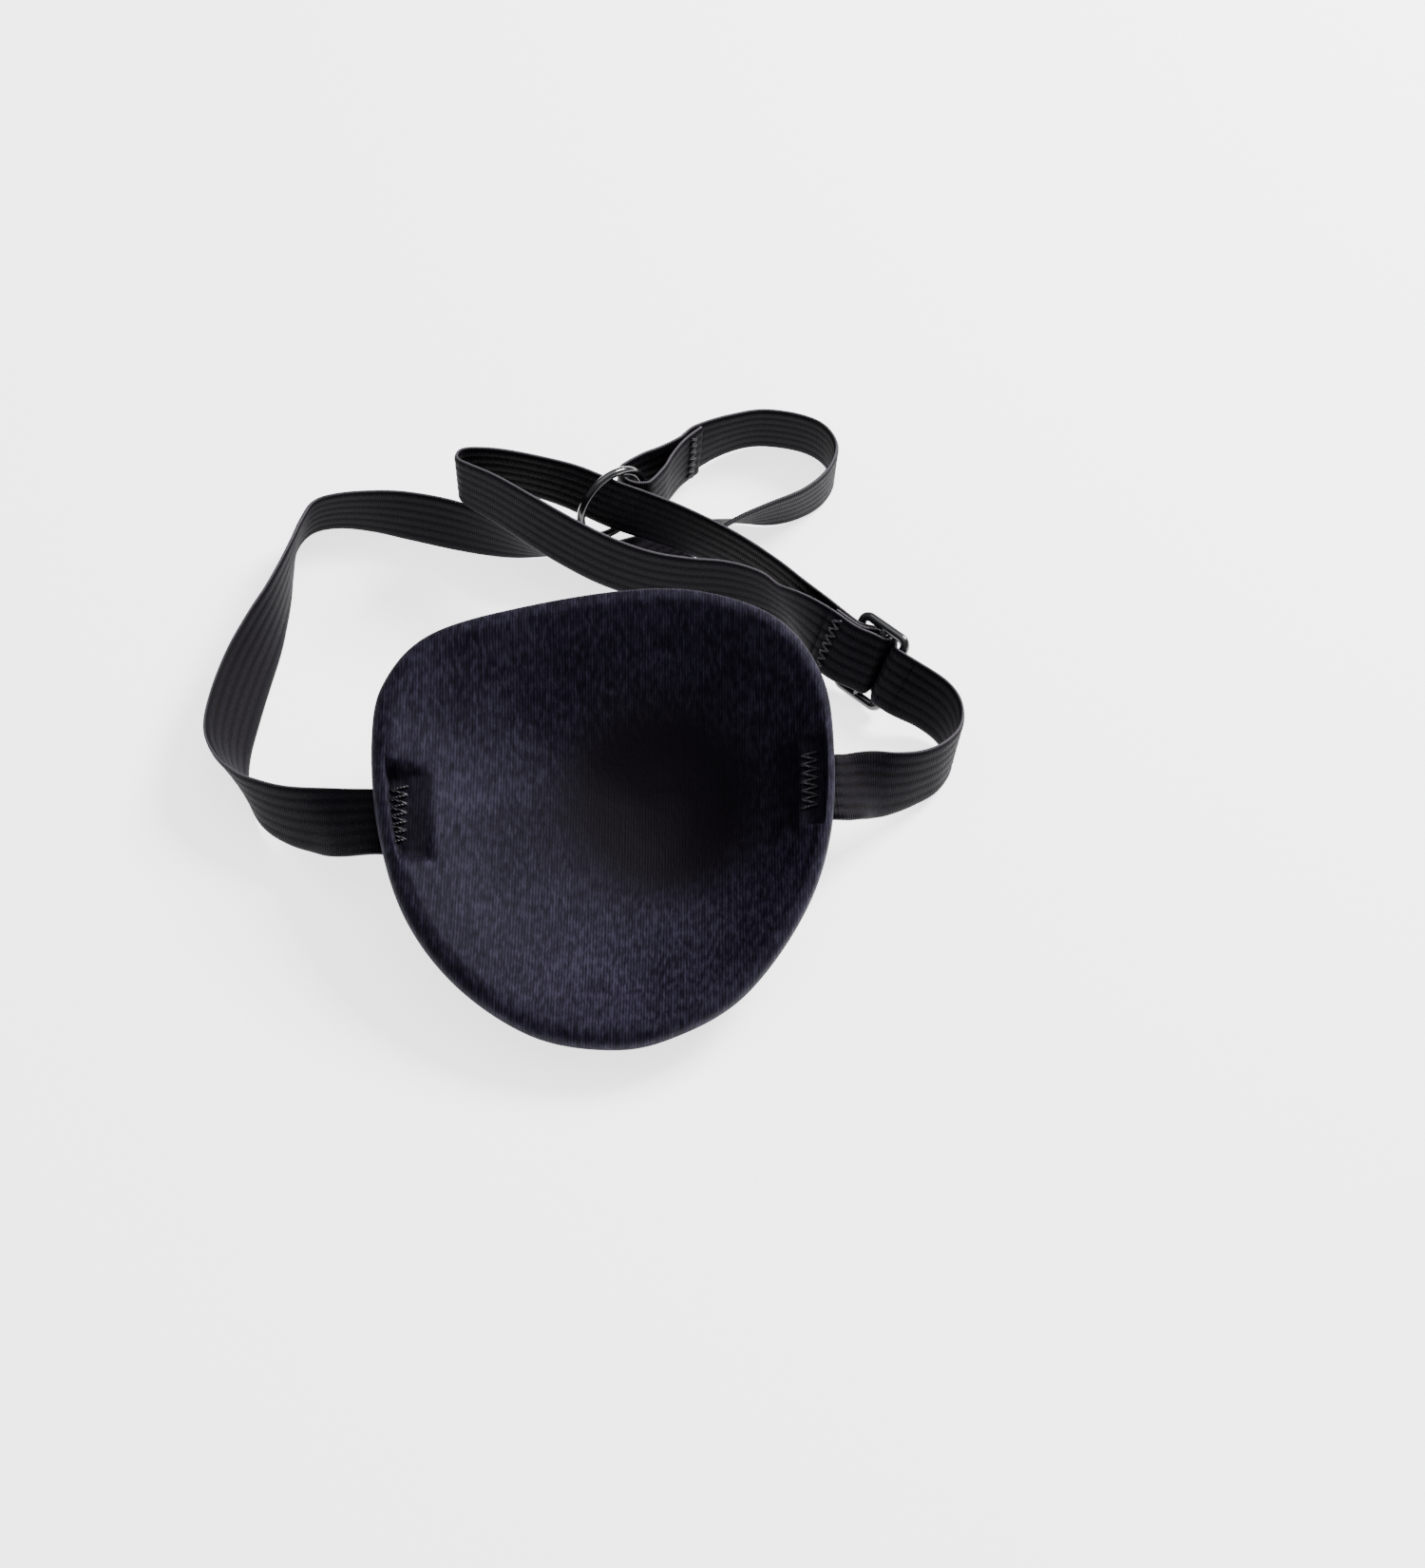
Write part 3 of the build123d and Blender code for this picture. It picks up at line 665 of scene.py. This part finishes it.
in_slider = framed_run(THREADED, through)
in_fold = framed_run(THREADED, folded)
near_run = sewn_run(RIGHT_SEAM, 1) + free_run(RIGHT_RUN)
far_run = free_run(BACK_RUN)
right_frames = band_frames(near_run + in_slider + far_run + in_fold)
enters = len(near_run) * SPLIT
leaves = enters + (len(in_slider) - 1) * SPLIT
folds = leaves + (len(far_run) + 1) * SPLIT
near_part = band("right_elastic_near", right_frames[:enters + 1])
slider_part = band("right_elastic_in_slider", right_frames[enters:leaves + 1])
far_part = band("right_elastic_far", right_frames[leaves:folds + 1])
fold_part = band("right_elastic_folded_end", right_frames[folds:])
for part in (near_part, slider_part, far_part, fold_part):
    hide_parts("right_strap")
slider_centre = SLIDER_CENTRE_MM * MM
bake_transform(near_part)
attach(slider_part, "slider")
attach(fold_part, "slider")
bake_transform(far_part)
print("right strap", round(right_frames[-1][1] * 1000, 1), "mm")

# %% [markdown]
# ## Ring and slider
# Both are moulded from glossy black plastic. The ring is a circle spun about an axis beside
# it. The slider is a round bar swept round a rounded rectangle, with a bar across its middle.

# %% Ring
RING_WIRE_MM = 1.6
ring_bm = bmesh.new()
bmesh.ops.create_circle(ring_bm, segments=20, radius=RING_WIRE_MM / 2 * MM,
                        matrix=Matrix.Translation((RING_REACH_MM * MM, 0, 0))
                        @ Matrix.Rotation(math.pi / 2, 4, "X"))
bmesh.ops.spin(ring_bm, geom=ring_bm.edges[:] + ring_bm.verts[:], cent=(0, 0, 0),
               axis=(0, 0, 1), angle=2 * math.pi, steps=96, use_merge=True)
bmesh.ops.remove_doubles(ring_bm, verts=ring_bm.verts, dist=1e-6)
ring_axis = ring_arm.cross(ring_upright).normalized()
ring_place = plane_at(RING_CENTRE_MM * MM, ring_arm.normalized(), ring_axis)
bmesh.ops.transform(ring_bm, matrix=ring_place, verts=ring_bm.verts)
ring = finished("ring_wire", ring_bm, PLASTIC)
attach(ring, "ring")
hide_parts("strap_ring")

# %% Slider
SLOT_LONG_MM = 12.8
slider_long = SLOT_LONG_MM + BAR
CORNER = 1.5                 # corner radius along the middle of the bar


def bar_section(radius):
    return arc((0, 0), radius * MM, 0, 337.5, 16)


def wire_frames(points, closed):
    """Frames along points (x, y) of the slider's own plane, in metres."""
    centres = [Vector((x, y, 0)) * MM for x, y in points]
    count = len(centres)
    made = []
    for i, centre in enumerate(centres):
        after = centres[(i + 1) % count] if closed or i + 1 < count else centre * 2 - centres[i - 1]
        before = centres[i - 1] if closed or i else centre * 2 - centres[1]
        made.append(station_matrix(centre, after - before, Vector((0, 0, 1))))
    return made


def slider_mesh():
    bm = bmesh.new()
    inner_x, inner_y = BAR_GAP - CORNER, slider_long / 2 - CORNER
    outline = []
    for x, y, start in ((inner_x, inner_y, 0), (-inner_x, inner_y, 90),
                        (-inner_x, -inner_y, 180), (inner_x, -inner_y, 270)):
        outline += arc((x, y), CORNER, start, start + 90, 9)
    sweep(bm, bar_section(BAR / 2), wire_frames(outline, True), closed=True)
    across = [(0, -slider_long / 2 + slider_long * k / 8) for k in range(9)]
    sweep(bm, bar_section(BAR / 2 - 0.02), wire_frames(across, False))
    place = plane_at(slider_centre, slider_along, slider_along.cross(slider_width))
    bmesh.ops.transform(bm, matrix=place, verts=bm.verts)
    return bm


slider = finished("three_bar_slider", slider_mesh(), PLASTIC)
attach(slider, "slider")
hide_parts("slider")

# %% [markdown]
# ## Stitching
# A zigzag stitch lies on the cloth as short slanting threads. Each dives into a needle hole
# at both ends, so it is highest in its middle.

# %% Zigzag rows
THREAD_RADIUS = 0.24
STITCH_LONG = 10.4           # length of a row across the strap
STITCH_STEP = 0.75           # length of one slanting thread along its row
PAD_STITCH_WIDE = 3.0
TACK_WIDE = 1.8


def zigzag_mesh(rows):
    """Threads for (matrix in mm, length, width, face height, side) rows."""
    bm = bmesh.new()
    section = arc((0, 0), THREAD_RADIUS * MM, 0, 315, 8)
    for matrix, length, width, height, side in rows:
        count = int(length / STITCH_STEP)
        for k in range(count):
            ends = []
            for n in (k, k + 1):
                x = width / 2 if n % 2 else -width / 2
                ends.append(Vector((x, -length / 2 + n * length / count, height)))
            points = []
            for t in (0.0, 0.12, 0.3, 0.5, 0.7, 0.88, 1.0):
                lift = 0.34 * math.sin(math.pi * t) ** 0.6 - 0.12
                points.append(matrix @ (ends[0].lerp(ends[1], t) + Vector((0, 0, side * lift))))
            frames = [station_matrix(p * MM, d, matrix.to_3x3() @ Vector((0, 0, 1)))
                      for p, d in zip(points, directions(points))]
            sweep(bm, section, frames)
    return bm


def pad_rows(seam, side):
    middle = Matrix.Translation((seam[0] + side * 1.5, seam[1], 0))
    to_mm = Matrix.Scale(1000, 4) @ PAD_PLACE @ middle
    return [(to_mm, STITCH_LONG, PAD_STITCH_WIDE, -SEAM_FLOOR + 0.05, 1),
            (to_mm, STITCH_LONG, PAD_STITCH_WIDE, -(SEAT_DEPTH + 1.05), -1)]


def tack_rows(matrix, x, low, high):
    """The rows of a tack across the band, on both faces of its two layers."""
    turned = matrix @ Matrix.Translation((x, 0, 0)) @ Matrix.Rotation(-math.pi / 2, 4, "X")
    return [(turned, STITCH_LONG, TACK_WIDE, high, 1), (turned, STITCH_LONG, TACK_WIDE, low, -1)]


for name, node, rows, body in (
        ("left_pad_zigzag", "left_pad_stitching", pad_rows(LEFT_SEAM, -1), "root"),
        ("right_pad_zigzag", "right_pad_stitching", pad_rows(RIGHT_SEAM, 1), "root"),
        ("ring_loop_tack", "ring_loop_stitching",
         tack_rows(EYE, EYE_MEETS + 2.4, -1.05, 1.05), "root"),
        ("slider_loop_tack", "slider_loop_stitching",
         tack_rows(THREADED, 7.6, OVER - 0.5, TOP_LAYER + 0.5), "slider")):
    threads = finished(name, zigzag_mesh(rows), THREAD)
    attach(threads, body)
    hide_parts(node)

# %% [markdown]
# ## Table and light
# A pale, evenly lit table that gives off a little light of its own. A soft lamp stands to the
# upper right, a wider one hangs overhead, and a weak sky fills the shadows.

# %% Table and lamps
floor_bm = bmesh.new()
bmesh.ops.create_grid(floor_bm, x_segments=1, y_segments=1, size=3.0)
table_material, table_shader = new_material("pale_table", (0.92, 0.92, 0.92), 0.9,
                                            Emission_Color=(1, 1, 1, 1), Emission_Strength=2.2)
table_place = add(table_material, "ShaderNodeTexCoord").outputs["Object"]
table_grain = add(table_material, "ShaderNodeTexNoise", [("Vector", table_place)], Scale=30.0)
bumped(table_material, table_shader, table_grain.outputs["Fac"], 0.05 * MM, 0.2)
table = finished("table", floor_bm, table_material)


def lamp(name, place, target, size, power, colour):
    data = bpy.data.lights.new(name, "AREA")
    data.size = size
    data.energy = power
    data.color = colour
    light = bpy.data.objects.new(name, data)
    light.location = place
    light.rotation_euler = (Vector(target) - Vector(place)).to_track_quat("-Z", "Y").to_euler()
    bpy.context.scene.collection.objects.link(light)


lamp("key", (0.60, 0.45, 0.62), (0, 0, 0), 0.35, 26.0, (1.0, 0.98, 0.97))
lamp("overhead", (0.1, 0.2, 1.2), (0, 0, 0), 1.2, 9.0, (0.96, 0.97, 1.0))
world = bpy.data.worlds.new("soft_sky")
world.use_nodes = True
world.node_tree.nodes["Background"].inputs["Color"].default_value = (0.95, 0.97, 1.0, 1)
world.node_tree.nodes["Background"].inputs["Strength"].default_value = 0.34
bpy.context.scene.world = world
